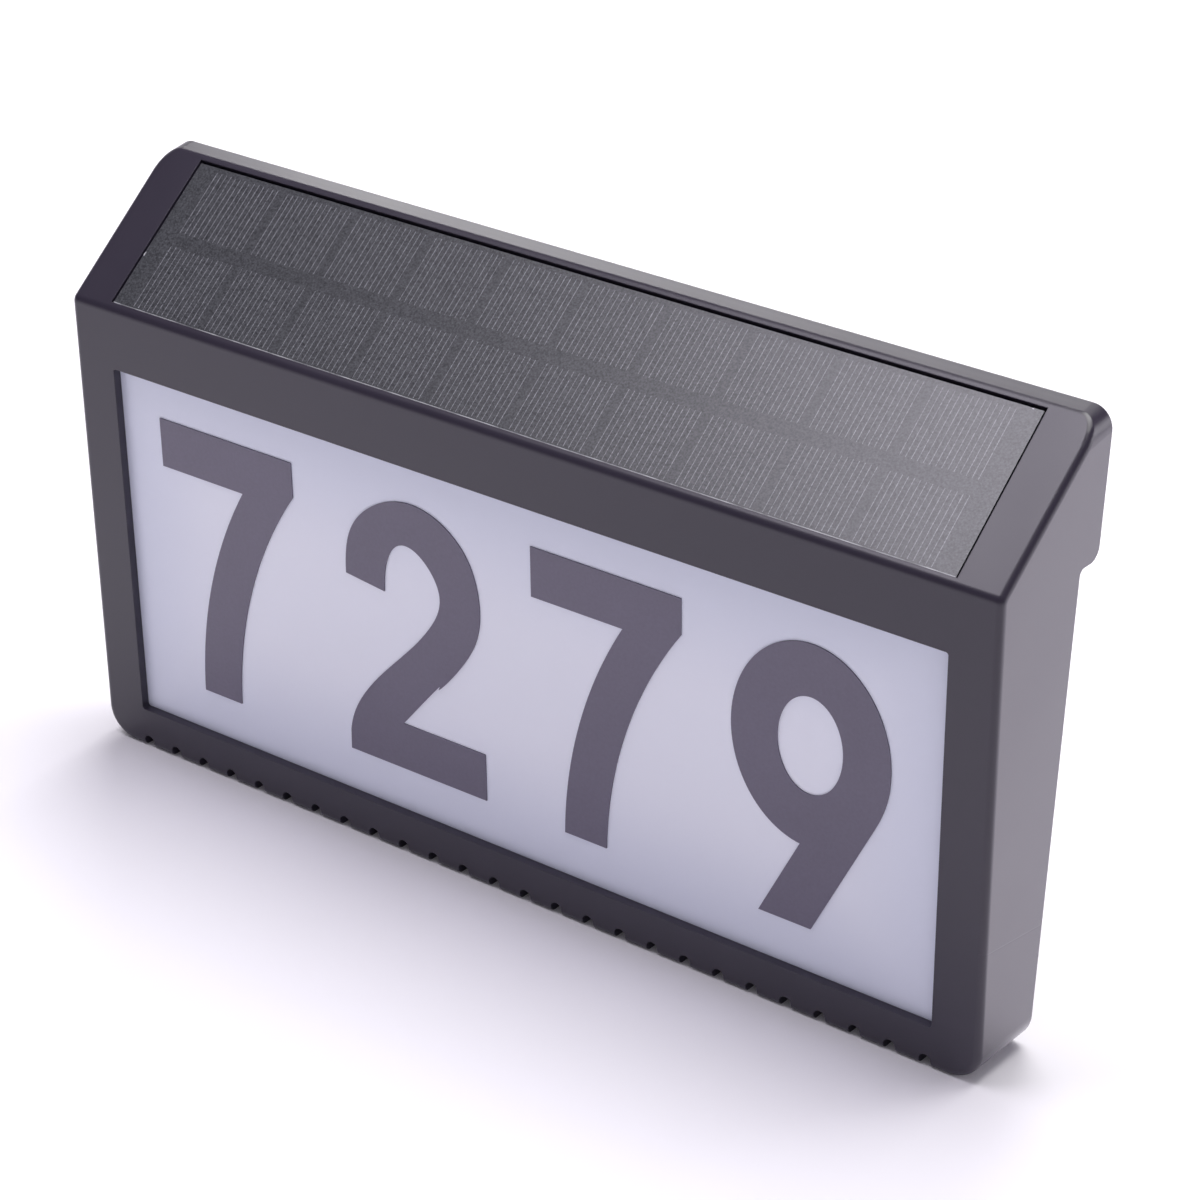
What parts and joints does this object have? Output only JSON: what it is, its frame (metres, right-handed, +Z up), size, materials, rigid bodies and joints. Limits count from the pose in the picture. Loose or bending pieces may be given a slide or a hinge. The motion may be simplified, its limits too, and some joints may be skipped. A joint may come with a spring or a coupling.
{
  "type": "illuminated house number sign",
  "caption": "Solar house number sign: a forward-leaning dark frame round a lit white panel with plain numerals, a sloping solar panel on top and a hump behind with keyholes for the wall.",
  "frame": {"origin": "middle of the width and of the depth, at the bottom edge", "axes": "+X right across the sign seen from the front, +Y towards the wall, +Z up"},
  "size_m": [0.32, 0.0486, 0.188],
  "materials": {
    "housing_abs": "fine matte moulded ABS, dark grey",
    "cover_abs": "fine matte moulded ABS, dark grey",
    "gasket_silicone": "soft black silicone",
    "screw_steel": "zinc plated steel",
    "opal_acrylic": "opal diffusing acrylic, satin",
    "white_abs": "white moulded ABS",
    "foam_tape": "double sided foam tape",
    "panel_board": "black glass fibre board",
    "silicon_cells": "silicon with fine silver fingers",
    "panel_laminate": "clear PET laminate with a fine satin texture",
    "circuit_board": "green solder mask",
    "led_board": "white solder mask",
    "led_chip": "yellow phosphor in a white package",
    "plug_nylon": "natural nylon",
    "chip_epoxy": "black epoxy",
    "switch_black": "black nylon",
    "plunger_white": "white nylon",
    "button_rubber": "soft dark rubber",
    "holder_black": "black polypropylene",
    "cell_sleeve": "plain blue PVC sleeve",
    "contact_nickel": "nickel plated spring steel",
    "numeral_film": "satin self-adhesive vinyl, dark grey",
    "lead_red": "red PVC insulation",
    "lead_black": "black PVC insulation"
  },
  "bodies": {
    "sign": {"battery_cell": "cell_sleeve", "battery_contacts": "contact_nickel", "battery_holder": "holder_black", "board_chips": "chip_epoxy", "board_plugs": "plug_nylon", "board_screws": "screw_steel", "control_board": "circuit_board", "cover_gasket": "gasket_silicone", "cover_screws": "screw_steel", "diffuser_panel": "opal_acrylic", "front_housing": "housing_abs", "holder_screws": "screw_steel", "leads_black": "lead_black", "leads_red": "lead_red", "led_board_lower": "led_board", "led_board_upper": "led_board", "led_chips_lower": "led_chip", "led_chips_upper": "led_chip", "numeral_2": "numeral_film", "numeral_7_left": "numeral_film", "numeral_7_right": "numeral_film", "numeral_9": "numeral_film", "panel_tape": "foam_tape", "rear_cover": "cover_abs", "reflector_tray": "white_abs", "solar_backing": "panel_board", "solar_cells": "silicon_cells", "solar_laminate": "panel_laminate", "switch_body": "switch_black", "tray_screws": "screw_steel"},
    "button": {"mode_button": "button_rubber", "switch_plunger": "plunger_white"}
  },
  "joints": [
    {"name": "button_press", "type": "slide", "parent": "sign", "child": "button", "axis": [0, -1, 0], "range_m": [0, 0.0015], "stiffness_N_per_m": 800, "springref_m": -0.0005}
  ]
}
